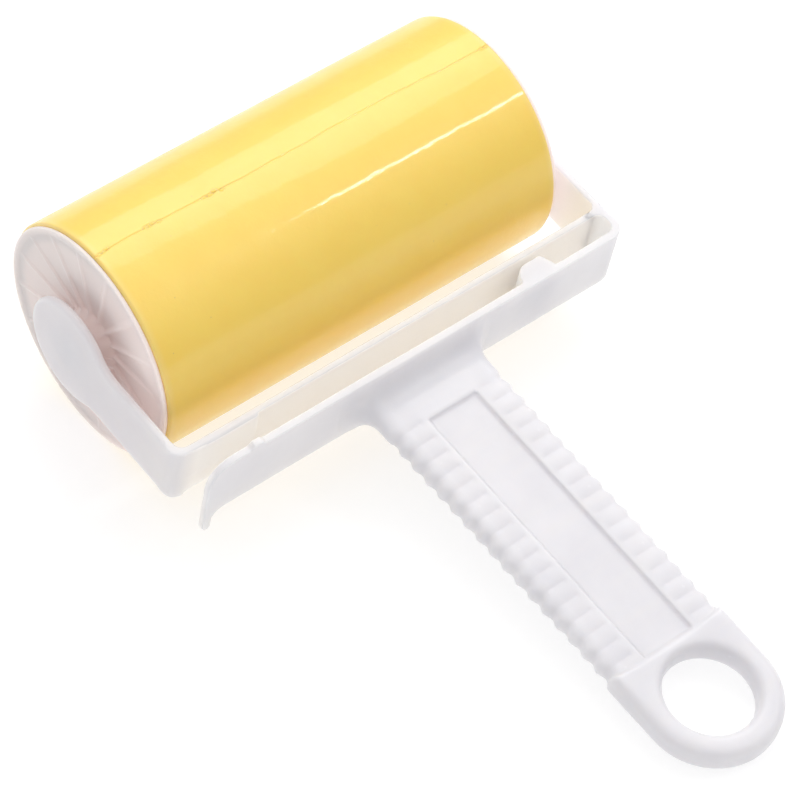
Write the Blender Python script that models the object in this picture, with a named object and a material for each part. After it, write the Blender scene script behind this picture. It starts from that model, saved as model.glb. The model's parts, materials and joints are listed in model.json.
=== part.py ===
"""Washable lint roller: a gel-covered drum turning in a moulded yoke with a ribbed handle.

Units are metres. Every piece is modelled in the yoke's own frame and then laid on the
ground by one tilted empty:
    x  along the drum's axis, the closed end of the yoke at +x
    y  from the handle (-y) to the drum
    z  square to the plane of the yoke
The drum's axis is y = 0, z = 0.
"""
import bmesh
import bpy
from math import acos, atan2, cos, pi, radians, sin, sqrt
from mathutils import Vector

MM = 0.001

# ---- drum ---------------------------------------------------------------------------
SLEEVE_R = 32.5 * MM          # outside of the sticky sleeve
SLEEVE_T = 2.3 * MM
SLEEVE_L = 125.4 * MM
SLEEVE_ROUND = 0.6 * MM
CORE_R = 29.9 * MM
CORE_T = 1.6 * MM
SKIRT_DEPTH = 7.0 * MM        # how far the cap's skirt reaches into the core
SKIRT_T = 1.7 * MM
LIP_R = 31.3 * MM             # the cap's lip, just inside the sleeve's outer radius
LIP_T = 0.9 * MM
LIP_W = 1.9 * MM              # flat band of the lip around the dish
DISH_DEPTH = 3.6 * MM         # below the lip, at the hub
DISH_T = 1.7 * MM
CAP_RIBS = 16
CAP_RIB_T = 0.9 * MM
CAP_RIB_PHASE = radians(-15)

# ---- yoke ---------------------------------------------------------------------------
PLANE_Z = -1.9 * MM           # middle of the moulding, just under the drum's axis
YOKE_H = 19.2 * MM            # height of bars and arms
ARM_T = 2.3 * MM
ARM_OUT = 70.0 * MM           # outer face of each arm from the middle of the drum
ARM_END_R = 15.2 * MM         # round end of an arm
ARM_NECK_FILLET = 9.0 * MM
BAR_BACK = -42.0 * MM         # drum side of the spring bar
BAR_T = 2.0 * MM
BAR_CORNER_IN = 2.4 * MM      # inner and outer radius of the bar's rounded corner
BAR_CORNER_OUT = 3.6 * MM
PAD_X = (-60.5 * MM, -45.2 * MM)   # raised pad on the bar's front face
PAD_DROP = 11.5 * MM
PAD_T = 0.7 * MM
WALL_BACK = -50.0 * MM        # drum side of the front wall
WALL_T = 2.2 * MM
WALL_LEFT_X = -65.3 * MM
WALL_CORNER_R = 8.0 * MM      # free upper corner, seen from the front
WALL_TURN_R = 4.6 * MM        # where the wall turns into the right arm
FIN_W = 2.3 * MM              # finger lip under the wall's free end
FIN_DROP = 7.0 * MM
FIN_FILLET = 3.6 * MM
TAB_X = (36.4 * MM, 47.2 * MM)
TAB_REACH = 4.4 * MM
NUB_X = -50.8 * MM            # small stop on the wall's top edge
NUB_H = 1.1 * MM

# ---- pivots -------------------------------------------------------------------------
BOSS_R = 7.6 * MM
STUB_R = 3.0 * MM
STUB_TIP = 61.6 * MM
BORE_R = 3.3 * MM
HUB_R = 6.6 * MM
HUB_FACE = 64.4 * MM
HUB_L = 11.4 * MM
PIVOT_CORE_R = 0.9 * MM       # draft hole through boss and stub

# ---- handle -------------------------------------------------------------------------
GRIP_HALF_W = 17.1 * MM
GRIP_HALF_H = 3.8 * MM
GRIP_ROUND = 2.2 * MM
ROOT_FILLET = 8.0 * MM
RIDGES = 17
RIDGE_PITCH = 5.0 * MM
RIDGE_W = 0.9 * MM            # how far a ridge swells sideways
RIDGE_H = 0.35 * MM
PANEL_HALF_W = 7.9 * MM
PANEL_Y = (-66.3 * MM, -148.7 * MM)
PANEL_DEPTH = 1.0 * MM
GRIP_END_Y = -149.6 * MM
NECK_HALF_W = 18.2 * MM       # where the ring takes over from the grip
RING_Y = -165.4 * MM
RING_R = 18.2 * MM
RING_HOLE_Y = -164.9 * MM     # the hole sits a little off the ring's centre
RING_HOLE_R = 11.8 * MM
RING_HALF_H = 4.1 * MM
RING_ROUND = 3.1 * MM
RING_HOLE_ROUND = 2.5 * MM

# ---- looks: colour and roughness ----------------------------------------------------
FRAME_WHITE = ((0.86, 0.85, 0.87), 0.35)
CAP_WHITE = ((0.80, 0.77, 0.77), 0.40)
CORE_WHITE = ((0.84, 0.83, 0.82), 0.45)
GEL_YELLOW = ((0.96, 0.76, 0.20), 0.22)

GAP = 0.3 * MM                # clearance between neighbouring sub-parts
TINY = 0.001 * MM             # tolerance when picking edges by place
EDGE_ROUND = 0.4 * MM         # broken edges of bar and wall
TILT = radians(8.458)          # drum and ring end both touch the ground
GROUND_SHIFT = Vector((0.0, 74.49, 32.5)) * MM

TOP_Z = PLANE_Z + YOKE_H / 2
BOTTOM_Z = PLANE_Z - YOKE_H / 2
ARM_IN = ARM_OUT - ARM_T
BAR_FRONT = BAR_BACK - BAR_T
CORNER_END_Y = BAR_BACK + BAR_CORNER_IN + 0.6 * MM
WALL_FRONT = WALL_BACK - WALL_T
FLEX_AXIS = Vector((ARM_IN - 0.5 * MM, BAR_BACK - BAR_T / 2, PLANE_Z))


# ---- scene helpers ------------------------------------------------------------------
def clear_scene():
    for obj in list(bpy.data.objects):
        bpy.data.objects.remove(obj, do_unlink=True)


def material(name, colour, roughness):
    mat = bpy.data.materials.new(name)
    mat.use_nodes = True
    shader = mat.node_tree.nodes["Principled BSDF"]
    shader.inputs["Base Color"].default_value = (*colour, 1.0)
    shader.inputs["Roughness"].default_value = roughness
    shader.inputs["Metallic"].default_value = 0.0
    return mat


def empty(name, parent=None, location=(0, 0, 0)):
    obj = bpy.data.objects.new(name, None)
    bpy.context.collection.objects.link(obj)
    obj.parent = parent
    obj.location = location
    return obj


def frame_place(parent):
    """Place of a parent empty in the yoke's own frame."""
    place = Vector()
    while parent is not None and parent.name != "ground_tilt":
        place += parent.location
        parent = parent.parent
    return place


def finish(name, bm, look, parent):
    """Turn a bmesh in the yoke's frame into one named object under its parent."""
    bmesh.ops.remove_doubles(bm, verts=bm.verts, dist=1e-6)
    bmesh.ops.recalc_face_normals(bm, faces=bm.faces)
    if bm.calc_volume(signed=True) < 0:
        bmesh.ops.reverse_faces(bm, faces=bm.faces)
    bmesh.ops.translate(bm, verts=bm.verts, vec=-frame_place(parent))
    mesh = bpy.data.meshes.new(name)
    bm.to_mesh(mesh)
    bm.free()
    mesh.materials.append(material(name, *look))
    obj = bpy.data.objects.new(name, mesh)
    bpy.context.collection.objects.link(obj)
    obj.parent = parent
    mesh.shade_smooth()
    mesh.set_sharp_from_angle(angle=radians(35))
    return obj


# ---- mesh helpers -------------------------------------------------------------------
def arc(cx, cy, r, start, end, steps):
    """Points of an arc in a plane, from one angle to another in degrees."""
    points = []
    for i in range(steps + 1):
        a = radians(start + (end - start) * i / steps)
        points.append((cx + r * cos(a), cy + r * sin(a)))
    return points


def prism(outline, low, high, place):
    """Extrude a closed outline between two levels; place(u, v, w) gives a point."""
    bm = bmesh.new()
    bottom = [bm.verts.new(place(u, v, low)) for u, v in outline]
    top = [bm.verts.new(place(u, v, high)) for u, v in outline]
    bm.faces.new(bottom)
    bm.faces.new(list(reversed(top)))
    count = len(outline)
    for i in range(count):
        j = (i + 1) % count
        bm.faces.new((bottom[i], top[i], top[j], bottom[j]))
    bmesh.ops.recalc_face_normals(bm, faces=bm.faces)
    return bm


def round_edges(bm, width, segments, wanted):
    """Bevel the sharp edges for which wanted(edge) holds."""
    edges = [e for e in bm.edges if e.calc_face_angle(0) > radians(40) and wanted(e)]
    bmesh.ops.bevel(bm, geom=edges, offset=width, offset_type="OFFSET",
                    segments=segments, profile=0.5, affect="EDGES",
                    clamp_overlap=True)


def on_plane(edge, axis, value):
    """Whether an edge lies in the plane where this axis (0, 1, 2) has this value."""
    return all(abs(v.co[axis] - value) < TINY for v in edge.verts)


def lathe(profile, steps, side=1):
    """Turn a closed (x, r) profile about the drum's axis; side -1 mirrors it in x."""
    bm = bmesh.new()
    rings = []
    for i in range(steps):
        a = 2 * pi * i / steps
        rings.append([bm.verts.new((side * x, r * cos(a), r * sin(a))) for x, r in profile])
    count = len(profile)
    for i in range(steps):
        here, there = rings[i], rings[(i + 1) % steps]
        for k in range(count):
            n = (k + 1) % count
            bm.faces.new((here[k], here[n], there[n], there[k]))
    return bm


def boolean(target, cutter, operation):
    """Combine two bmeshes exactly and return the result as a new bmesh."""
    objects = []
    for bm in (target, cutter):
        bmesh.ops.recalc_face_normals(bm, faces=bm.faces)
        mesh = bpy.data.meshes.new("work")
        bm.to_mesh(mesh)
        bm.free()
        obj = bpy.data.objects.new("work", mesh)
        bpy.context.collection.objects.link(obj)
        objects.append(obj)
    modifier = objects[0].modifiers.new("combine", "BOOLEAN")
    modifier.operation = operation
    modifier.solver = "EXACT"
    modifier.object = objects[1]
    depsgraph = bpy.context.evaluated_depsgraph_get()
    result = bmesh.new()
    result.from_mesh(objects[0].evaluated_get(depsgraph).to_mesh())
    for obj in objects:
        bpy.data.objects.remove(obj, do_unlink=True)
    return result


# ---- drum ---------------------------------------------------------------------------
def sticky_sleeve():
    half = SLEEVE_L / 2
    inner = SLEEVE_R - SLEEVE_T
    soft = SLEEVE_ROUND
    profile = [(-half, inner), (half, inner)]
    profile += arc(half - soft, SLEEVE_R - soft, soft, 0, 90, 3)
    profile += arc(-half + soft, SLEEVE_R - soft, soft, 90, 180, 3)
    return lathe(profile, 72)


def core_tube():
    half = SLEEVE_L / 2
    inner = CORE_R - CORE_T
    return lathe([(-half, inner), (half, inner), (half, CORE_R), (-half, CORE_R)], 64)


def end_cap(side):
    """A dished cap: lip over the sleeve's end, skirt in the core, bored hub, ribs."""
    seat = SLEEVE_L / 2 + GAP
    lip = seat + LIP_T
    skirt_r = CORE_R - CORE_T - GAP
    skirt_in = skirt_r - SKIRT_T
    edge = 0.3 * MM
    dish_rim = (lip - 1.0 * MM, skirt_r - 1.2 * MM)
    dish_hub = (lip - DISH_DEPTH, HUB_R + 2.4 * MM)
    profile = [
        (HUB_FACE - HUB_L, BORE_R),
        (HUB_FACE - HUB_L, HUB_R),
        (dish_hub[0] - DISH_T, HUB_R),
        (dish_rim[0] - DISH_T, skirt_in),
        (seat - SKIRT_DEPTH, skirt_in),
        (seat - SKIRT_DEPTH, skirt_r),
        (seat, skirt_r),
        (seat, LIP_R - edge),
        (seat + edge, LIP_R),
        (lip - edge, LIP_R),
        (lip, LIP_R - edge),
        (lip, LIP_R - LIP_W),
        dish_rim,
        dish_hub,
        (HUB_FACE - edge, HUB_R),
        (HUB_FACE, HUB_R - edge),
        (HUB_FACE, BORE_R),
    ]
    cap = lathe(profile, 64, side)
    ribs = bmesh.new()
    for i in range(CAP_RIBS):
        add_cap_rib(ribs, side, CAP_RIB_PHASE + 2 * pi * i / CAP_RIBS, dish_rim, dish_hub)
    return boolean(cap, ribs, "UNION")


def add_cap_rib(bm, side, angle, dish_rim, dish_hub):
    """One thin radial wall standing on the dish, its top sloping from lip to hub."""
    inner_r = HUB_R - 0.8 * MM
    sunk = 0.5 * MM
    corners = [
        (dish_hub[0] - sunk, inner_r),
        (dish_rim[0] - sunk, dish_rim[1] - 0.2 * MM),
        (dish_rim[0] + 0.45 * MM, dish_rim[1] + 1.4 * MM),
        (dish_hub[0] + 2.4 * MM, inner_r),
    ]
    out = Vector((0, cos(angle), sin(angle)))
    across = Vector((0, -sin(angle), cos(angle))) * CAP_RIB_T / 2
    near, far = [
        [bm.verts.new(Vector((side * x, 0, 0)) + out * r + offset) for x, r in corners]
        for offset in (-across, across)
    ]
    bm.faces.new(near)
    bm.faces.new(list(reversed(far)))
    for i in range(4):
        j = (i + 1) % 4
        bm.faces.new((near[i], far[i], far[j], near[j]))


def pivot(side):
    """Boss and stub that the cap's hub turns on; it stands on the arm's inner face."""
    root = ARM_IN - GAP
    face = HUB_FACE + 2 * GAP
    edge = 0.4 * MM
    profile = [
        (STUB_TIP, PIVOT_CORE_R),
        (STUB_TIP, STUB_R - edge),
        (STUB_TIP + edge, STUB_R),
        (face, STUB_R),
        (face, BOSS_R - edge),
        (face + edge, BOSS_R),
        (root, BOSS_R),
        (root, PIVOT_CORE_R),
    ]
    return lathe(profile, 40, side)


# ---- yoke ---------------------------------------------------------------------------
def neck_fillet(level):
    """Concave blend from an arm's edge at this level into its round end."""
    sign = 1 if level > 0 else -1
    fillet = ARM_NECK_FILLET
    centre_z = level + sign * fillet
    centre_y = -sqrt((ARM_END_R + fillet) ** 2 - centre_z ** 2)
    touch = atan2(centre_z, centre_y)
    start = -sign * pi / 2
    end = touch - sign * pi
    points = []
    for i in range(7):
        a = start + (end - start) * i / 6
        points.append((centre_y + fillet * cos(a), centre_z + fillet * sin(a)))
    return points, touch


def arm_outline(end_y):
    """Side view (y, z) of an arm: a round end that narrows to the bar's height."""
    upper, touch_up = neck_fillet(TOP_Z)
    lower, touch_low = neck_fillet(BOTTOM_Z)
    steps = 26
    points = [(end_y, TOP_Z)] + upper
    for i in range(1, steps):
        a = touch_up + (touch_low - touch_up) * i / steps
        points.append((ARM_END_R * cos(a), ARM_END_R * sin(a)))
    return points + list(reversed(lower)) + [(end_y, BOTTOM_Z)]


def arm(side, end_y):
    """A flat arm beside the drum; its end at end_y stays square to meet its neighbour."""
    bm = prism(arm_outline(end_y), ARM_IN, ARM_OUT, lambda u, v, w: (side * w, u, v))

    for x, width, segments in ((ARM_OUT, 0.8 * MM, 3), (ARM_IN, 0.4 * MM, 2)):
        def rim(e, x=side * x):
            return on_plane(e, 0, x) and not on_plane(e, 1, end_y)

        round_edges(bm, width, segments, rim)
    return bm


def left_arm():
    return arm(-1, CORNER_END_Y + GAP)


def right_arm():
    return arm(1, WALL_FRONT + WALL_TURN_R + GAP)


def spring_bar():
    """The flexible bar: its rounded corner takes the left arm, its far end the root."""
    outer = (-ARM_OUT + BAR_CORNER_OUT, BAR_FRONT + BAR_CORNER_OUT)
    inner = (-ARM_IN + BAR_CORNER_IN, BAR_BACK + BAR_CORNER_IN)
    root_x = ARM_IN - GAP
    outline = [(-ARM_OUT, CORNER_END_Y)]
    outline += arc(*outer, BAR_CORNER_OUT, 180, 270, 8)
    outline += [(root_x, BAR_FRONT), (root_x, BAR_BACK)]
    outline += arc(*inner, BAR_CORNER_IN, 270, 180, 6)
    outline += [(-ARM_IN, CORNER_END_Y)]
    bm = prism(outline, BOTTOM_Z, TOP_Z, lambda u, v, w: (u, v, w))

    def rim(e):
        level = any(on_plane(e, 2, z) for z in (TOP_Z, BOTTOM_Z))
        return level and not on_plane(e, 1, CORNER_END_Y) and not on_plane(e, 0, root_x)

    round_edges(bm, EDGE_ROUND, 2, rim)
    return boolean(bm, spring_bar_pad(), "UNION")


def spring_bar_pad():
    """Thin raised pad near the bar's corner, its free lower corner rounded."""
    left, right = PAD_X
    top = TOP_Z - 0.8 * MM
    low = TOP_Z - PAD_DROP
    turn = 4.0 * MM
    outline = [(left, low), (left, top), (right, top)]
    outline += arc(right - turn, low + turn, turn, 0, -90, 6)
    return prism(outline, BAR_FRONT - PAD_T, BAR_FRONT + 0.5 * MM, lambda u, v, w: (u, w, v))


def wall_plan():
    """Top view (x, y) of the front wall, with the stop tab that reaches into the slot."""
    tab_y = WALL_BACK + TAB_REACH
    turn = (ARM_OUT - WALL_TURN_R, WALL_FRONT + WALL_TURN_R)
    inner = WALL_TURN_R - ARM_T
    outline = [(WALL_LEFT_X, WALL_FRONT)]
    outline += arc(*turn, WALL_TURN_R, 270, 360, 8)
    outline += arc(*turn, inner, 360, 270, 5)[:-1]
    outline += [
        (turn[0], WALL_BACK),
        (TAB_X[1], WALL_BACK),
        (TAB_X[1] - 1.9 * MM, tab_y),
        (TAB_X[0] + 4.2 * MM, tab_y),
        (TAB_X[0] + 2.2 * MM, tab_y - 0.7 * MM),
        (TAB_X[0] + 0.9 * MM, tab_y - 1.9 * MM),
        (TAB_X[0], WALL_BACK),
        (WALL_LEFT_X, WALL_BACK),
    ]
    return outline


def wall_front():
    """Front view (x, z): rounded free corner, finger lip under it, nub on top."""
    left = WALL_LEFT_X
    right = ARM_OUT
    fin_right = left + FIN_W
    tip = BOTTOM_Z - FIN_DROP
    half = FIN_W / 2
    low_turn = 2.4 * MM
    outline = arc(left + WALL_CORNER_R, TOP_Z - WALL_CORNER_R, WALL_CORNER_R, 180, 90, 8)
    outline += [
        (NUB_X - 2.2 * MM, TOP_Z),
        (NUB_X - 1.2 * MM, TOP_Z + NUB_H),
        (NUB_X + 1.2 * MM, TOP_Z + NUB_H),
        (NUB_X + 2.2 * MM, TOP_Z),
        (right, TOP_Z),
    ]
    outline += arc(right - low_turn, BOTTOM_Z + low_turn, low_turn, 0, -90, 5)
    outline += arc(fin_right + FIN_FILLET, BOTTOM_Z - FIN_FILLET, FIN_FILLET, 90, 180, 7)
    outline += arc(left + half, tip + half, half, 0, -180, 6)
    return outline


def front_wall():
    over = 12 * MM
    plan = prism(wall_plan(), BOTTOM_Z - over, TOP_Z + over, lambda u, v, w: (u, v, w))
    front = prism(wall_front(), WALL_FRONT - over, WALL_BACK + over,
                  lambda u, v, w: (u, w, v))
    bm = boolean(plan, front, "INTERSECT")
    bmesh.ops.dissolve_limit(bm, angle_limit=radians(1), verts=bm.verts, edges=bm.edges)

    def long_rim(e):
        face = on_plane(e, 1, WALL_FRONT) or on_plane(e, 1, WALL_BACK)
        return face and e.calc_length() > 1.2 * MM

    round_edges(bm, EDGE_ROUND, 2, long_rim)
    return bm


# ---- handle -------------------------------------------------------------------------
def ridge_swell(y):
    """0 in a groove, 1 on a ridge and on the plain shoulder before the first groove."""
    travel = (PANEL_Y[0] - y) / RIDGE_PITCH
    if travel < -0.5:
        return 1.0
    if travel >= RIDGES - 0.5:
        return 0.0
    return abs(sin(pi * travel)) ** 0.8


def root_swell(y):
    """How far the concave root fillet lifts the surface at y."""
    distance = (WALL_FRONT - y)
    if distance >= ROOT_FILLET:
        return 0.0
    return ROOT_FILLET - sqrt(ROOT_FILLET ** 2 - (ROOT_FILLET - distance) ** 2)


def grip_section(y, recessed):
    """One closed cross-section (x, z) of the grip at y."""
    swell = ridge_swell(y)
    root = root_swell(y)
    half_w = GRIP_HALF_W + RIDGE_W * swell + root * 0.9
    half_h = GRIP_HALF_H + min(root, TOP_Z - PLANE_Z - GRIP_HALF_H - 0.5 * MM)
    quarter = []
    floor = half_h - (PANEL_DEPTH if recessed else 0.0)
    quarter.append((0.0, floor))
    quarter.append((PANEL_HALF_W - 0.3 * MM, floor))
    quarter.append((PANEL_HALF_W, half_h))
    crown = RIDGE_H * swell
    quarter.append(((PANEL_HALF_W + half_w - GRIP_ROUND) / 2, half_h + crown * 0.8))
    for i in range(6):
        a = pi / 2 * (1 - i / 5)
        lift = crown * (1 - i / 5)
        quarter.append((half_w - GRIP_ROUND + GRIP_ROUND * cos(a),
                        half_h - GRIP_ROUND + GRIP_ROUND * sin(a) + lift))
    right = quarter + [(x, -z) for x, z in reversed(quarter)]
    left = [(-x, z) for x, z in reversed(right)]
    return right + left[1:-1]


def grip_stations():
    """The y of each cross-section, closer together over the root and the ridges."""
    stations = []
    start = WALL_FRONT - GAP
    steps = 7
    for i in range(steps):
        bend = 1 - cos(pi / 2 * i / (steps - 1))
        stations.append((start - (ROOT_FILLET - GAP) * bend, False))
    stations.append((PANEL_Y[0] + 2.5 * MM, False))
    stations.append((PANEL_Y[0], False))
    per_ridge = 5
    total = int((RIDGES - 0.5) * per_ridge)
    for i in range(total + 1):
        y = PANEL_Y[0] - 0.3 * MM - i * RIDGE_PITCH / per_ridge
        if y > PANEL_Y[1]:
            stations.append((y, True))
    stations.append((PANEL_Y[1], False))
    stations.append((GRIP_END_Y, False))
    return stations


def handle_grip():
    bm = bmesh.new()
    loops = []
    for y, recessed in grip_stations():
        section = grip_section(y, recessed)
        loops.append([bm.verts.new((x, y, z + PLANE_Z)) for x, z in section])
    for near, far in zip(loops, loops[1:]):
        count = len(near)
        for i in range(count):
            j = (i + 1) % count
            bm.faces.new((near[i], far[i], far[j], near[j]))
    bm.faces.new(loops[0])
    bm.faces.new(list(reversed(loops[-1])))
    return bm


def hang_ring():
    """The loop at the handle's end, its rims well rounded."""
    neck_y = GRIP_END_Y - GAP
    half = NECK_HALF_W
    reach = sqrt(half ** 2 + (neck_y - RING_Y) ** 2)
    lean = atan2(neck_y - RING_Y, half)
    touch = lean - acos(RING_R / reach)
    steps = 40
    outline = [(half, neck_y)]
    for i in range(steps + 1):
        a = touch + (-pi - 2 * touch) * i / steps
        outline.append((RING_R * cos(a), RING_Y + RING_R * sin(a)))
    outline.append((-half, neck_y))
    low = PLANE_Z - RING_HALF_H
    high = PLANE_Z + RING_HALF_H
    bm = prism(outline, low, high, lambda u, v, w: (u, v, w))
    hole = prism(arc(0, RING_HOLE_Y, RING_HOLE_R, 0, 352.5, 47), low - MM, high + MM,
                 lambda u, v, w: (u, v, w))
    bm = boolean(bm, hole, "DIFFERENCE")
    bmesh.ops.dissolve_limit(bm, angle_limit=radians(1), verts=bm.verts, edges=bm.edges)

    middle = (RING_R + RING_HOLE_R) / 2

    def rim(e, at_hole):
        level = on_plane(e, 2, low) or on_plane(e, 2, high)
        near = all(sqrt(v.co.x ** 2 + (v.co.y - RING_HOLE_Y) ** 2) < middle for v in e.verts)
        return level and near == at_hole and not on_plane(e, 1, neck_y)

    round_edges(bm, RING_HOLE_ROUND, 4, lambda e: rim(e, True))
    round_edges(bm, RING_ROUND, 4, lambda e: rim(e, False))
    return bm


# ---- the whole roller ---------------------------------------------------------------
def build():
    clear_scene()
    ground = empty("ground_tilt", location=GROUND_SHIFT)
    ground.rotation_euler = (TILT, 0, 0)
    flex = empty("flex_axis", ground, FLEX_AXIS)
    spin = empty("drum_axis", flex, -FLEX_AXIS)

    finish("handle_grip", handle_grip(), FRAME_WHITE, ground)
    finish("hang_ring", hang_ring(), FRAME_WHITE, ground)
    finish("front_wall", front_wall(), FRAME_WHITE, ground)
    finish("right_arm", right_arm(), FRAME_WHITE, ground)
    finish("right_pivot", pivot(1), FRAME_WHITE, ground)
    finish("spring_bar", spring_bar(), FRAME_WHITE, flex)
    finish("left_arm", left_arm(), FRAME_WHITE, flex)
    finish("left_pivot", pivot(-1), FRAME_WHITE, flex)
    finish("core_tube", core_tube(), CORE_WHITE, spin)
    finish("left_end_cap", end_cap(-1), CAP_WHITE, spin)
    finish("right_end_cap", end_cap(1), CAP_WHITE, spin)
    finish("sticky_sleeve", sticky_sleeve(), GEL_YELLOW, spin)


build()
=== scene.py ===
import json
from math import atan2, cos, degrees, exp, pi, radians, sin, sqrt

import bmesh
import bpy
from mathutils import Euler, Matrix, Vector, noise


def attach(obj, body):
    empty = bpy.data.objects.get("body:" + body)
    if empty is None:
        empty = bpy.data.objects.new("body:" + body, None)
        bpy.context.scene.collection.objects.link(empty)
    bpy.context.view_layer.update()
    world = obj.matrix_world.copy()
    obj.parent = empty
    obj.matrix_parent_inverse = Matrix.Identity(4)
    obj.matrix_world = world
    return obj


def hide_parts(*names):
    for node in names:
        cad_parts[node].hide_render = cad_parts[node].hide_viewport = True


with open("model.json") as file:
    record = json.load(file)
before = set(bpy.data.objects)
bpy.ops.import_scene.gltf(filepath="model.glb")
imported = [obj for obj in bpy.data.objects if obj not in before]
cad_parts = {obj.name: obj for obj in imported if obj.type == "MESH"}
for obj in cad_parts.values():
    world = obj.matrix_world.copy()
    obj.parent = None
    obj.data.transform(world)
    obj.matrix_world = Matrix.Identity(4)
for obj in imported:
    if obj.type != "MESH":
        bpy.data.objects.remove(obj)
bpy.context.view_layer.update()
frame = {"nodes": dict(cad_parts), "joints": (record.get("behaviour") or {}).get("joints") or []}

MM = 0.001
JOINTS = {joint["name"]: joint for joint in frame["joints"]}
FLEX_DIRECTION = Vector(JOINTS["yoke_flex"]["axis"])
TILT = atan2(-FLEX_DIRECTION.y, FLEX_DIRECTION.z)
DRUM_CENTRE = Vector(JOINTS["roller_spin"]["pos_m"])
YOKE_FRAME = Matrix.LocRotScale(DRUM_CENTRE, Euler((TILT, 0, 0)), Vector((MM, MM, MM)))

# ---- drum, mm -----------------------------------------------------------------------
SLEEVE_R = 32.5
SLEEVE_T = 2.3
SLEEVE_L = 125.4
SLEEVE_ROUND = 0.8
SEAM_ANGLE = 85.8             # degrees about the drum's axis, from +y towards +z
SEAM_WANDER = 2.2             # degrees
SEAM_HALF_W = 0.16
SEAM_DEPTH = 0.13
SEAM_MARKS = (-60.9, -45.4, -26.8, 62.0)   # x of small trapped bubbles along the seam
CORE_R = 29.9
CORE_T = 1.6
SKIRT_DEPTH = 7.0
SKIRT_T = 1.7
LIP_R = 31.7
LIP_T = 1.1
LIP_W = 0.9
DISH_DEPTH = 2.2
DISH_T = 1.7
CAP_RIBS = 16
CAP_RIB_HALF_T = 0.45
CAP_RIB_FOOT = 0.75           # fillet at the rib's foot
CAP_RIB_AT_HUB = 0.6          # a rib's top over the dish at the hub
CAP_RIB_AT_RIM = 0.22         # a rib's top under the lip at the rim
CAP_SEAT_GAP = 0.04
CAP_ROUND = 0.38
CAP_RIB_PHASE = radians(-15)
CAP_LIP_X = SLEEVE_L / 2 + CAP_SEAT_GAP + LIP_T
DISH_RIM = (CAP_LIP_X - 0.45, LIP_R - LIP_W - 1.2)      # (x, r)

# ---- yoke, mm -----------------------------------------------------------------------
PLANE_Z = -1.9
YOKE_H = 19.2
ARM_T = 2.3
ARM_OUT = 70.0
ARM_END_R = 15.2
ARM_NECK_FILLET = 9.0
BAR_BACK = -42.0
BAR_T = 2.0
BAR_CORNER_IN = 2.4
BAR_CORNER_OUT = 3.6
BAR_STEP = 1.2                # the bar's lower edge lies this much above the corner's
BAR_STEP_X = -64.6
BAR_ROOT_FILLET = 2.0
PAD_X = (-66.4, -45.2)       # its left end melts into the bar's corner
PAD_TAPER = 8.0
PAD_DROP = 11.5
PAD_T = 0.7
WALL_BACK = -50.0
WALL_T = 2.2
WALL_LEFT_X = -65.3
WALL_CORNER_R = 8.0
WALL_TURN_R = 4.6
FIN_W = 2.3
FIN_DROP = 7.0
FIN_FILLET = 3.6
TAB_X = (36.4, 47.2)
TAB_REACH = 4.4
TAB_TURN = 4.2                # where the tab's rounded side starts
TAB_SLANT = 1.9
NUB_X = -50.8
NUB_H = 1.1
NUB_FOOT = 2.2                # half its width at the foot and at the top
NUB_TOP = 1.2
EDGE_ROUND = 0.55
BAR_ROUND = 0.4
SINK = 0.6                    # how deep a part is sunk in its neighbour before they fuse

# ---- pivots, mm ---------------------------------------------------------------------
BOSS_R = 7.6
STUB_R = 3.0
STUB_TIP = 61.6
BORE_R = 3.3
HUB_R = 6.6
DISH_HUB = (CAP_LIP_X - DISH_DEPTH, HUB_R + 2.4)        # (x, r)
HUB_FACE = 64.4
HUB_L = 11.4
PIVOT_CORE_R = 0.9
GAP = 0.3

# ---- handle, mm ---------------------------------------------------------------------
GRIP_HALF_W = 17.1
GRIP_HALF_H = 3.8
GRIP_SIDE = 3.2               # width of the rounded side of the grip
GRIP_DOME = 0.35              # how far the top falls from the panel to the side
ROOT_FILLET = 8.0
RIDGES = 17
RIDGE_PITCH = 5.0
RIDGE_W = 0.9
TOOTH_SHARPNESS = 4.0         # teeth on the grip's side are narrower than the ridges
RIDGE_H = 0.30
RIDGE_REACH = (8.6, 10.2, 13.6, 15.6)   # x where a ridge starts, is full, falls, ends
PANEL_HALF_W = 7.9
PANEL_Y = (-66.3, -148.7)
PANEL_DEPTH = 0.9
PANEL_STEP = 0.3
GRIP_END_Y = -149.6
RING_Y = -165.4
RING_R = 18.2
RING_HOLE_Y = -164.9
RING_HOLE_R = 11.8
RING_HALF_H = 4.1
RING_ROUND = 3.1
RING_HOLE_ROUND = 2.5
RING_NECK_Y = -148.1          # top of the ring's neck, sunk into the grip

VOXEL = 0.32                  # the mouldings are fused at this resolution
TOP_Z = PLANE_Z + YOKE_H / 2
BOTTOM_Z = PLANE_Z - YOKE_H / 2
ARM_IN = ARM_OUT - ARM_T
ARM_RIMS = ((ARM_OUT, 1.0), (ARM_IN, 0.6))    # x of a rim and how far it is rounded
BAR_FRONT = BAR_BACK - BAR_T
CORNER_END_Y = BAR_BACK + BAR_CORNER_IN + SINK
WALL_FRONT = WALL_BACK - WALL_T

# ---- colours, linear ----------------------------------------------------------------
FRAME_WHITES = ((0.745, 0.737, 0.762), (0.715, 0.707, 0.737), (0.75, 0.737, 0.742))
CAP_WHITES = ((0.96, 0.80, 0.765), (0.95, 0.78, 0.745), (0.96, 0.79, 0.74))
# painted light: a lighter colour on the slot's upright inner faces, standing in for light from the
# drum
SLOT_PAINTED_LIGHT = (0.95, 0.925, 0.89)
SLOT_PAINTED_GLOW = (0.036, 0.035, 0.040)             # painted glow: emission standing in for light that thin walls pass on
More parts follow.
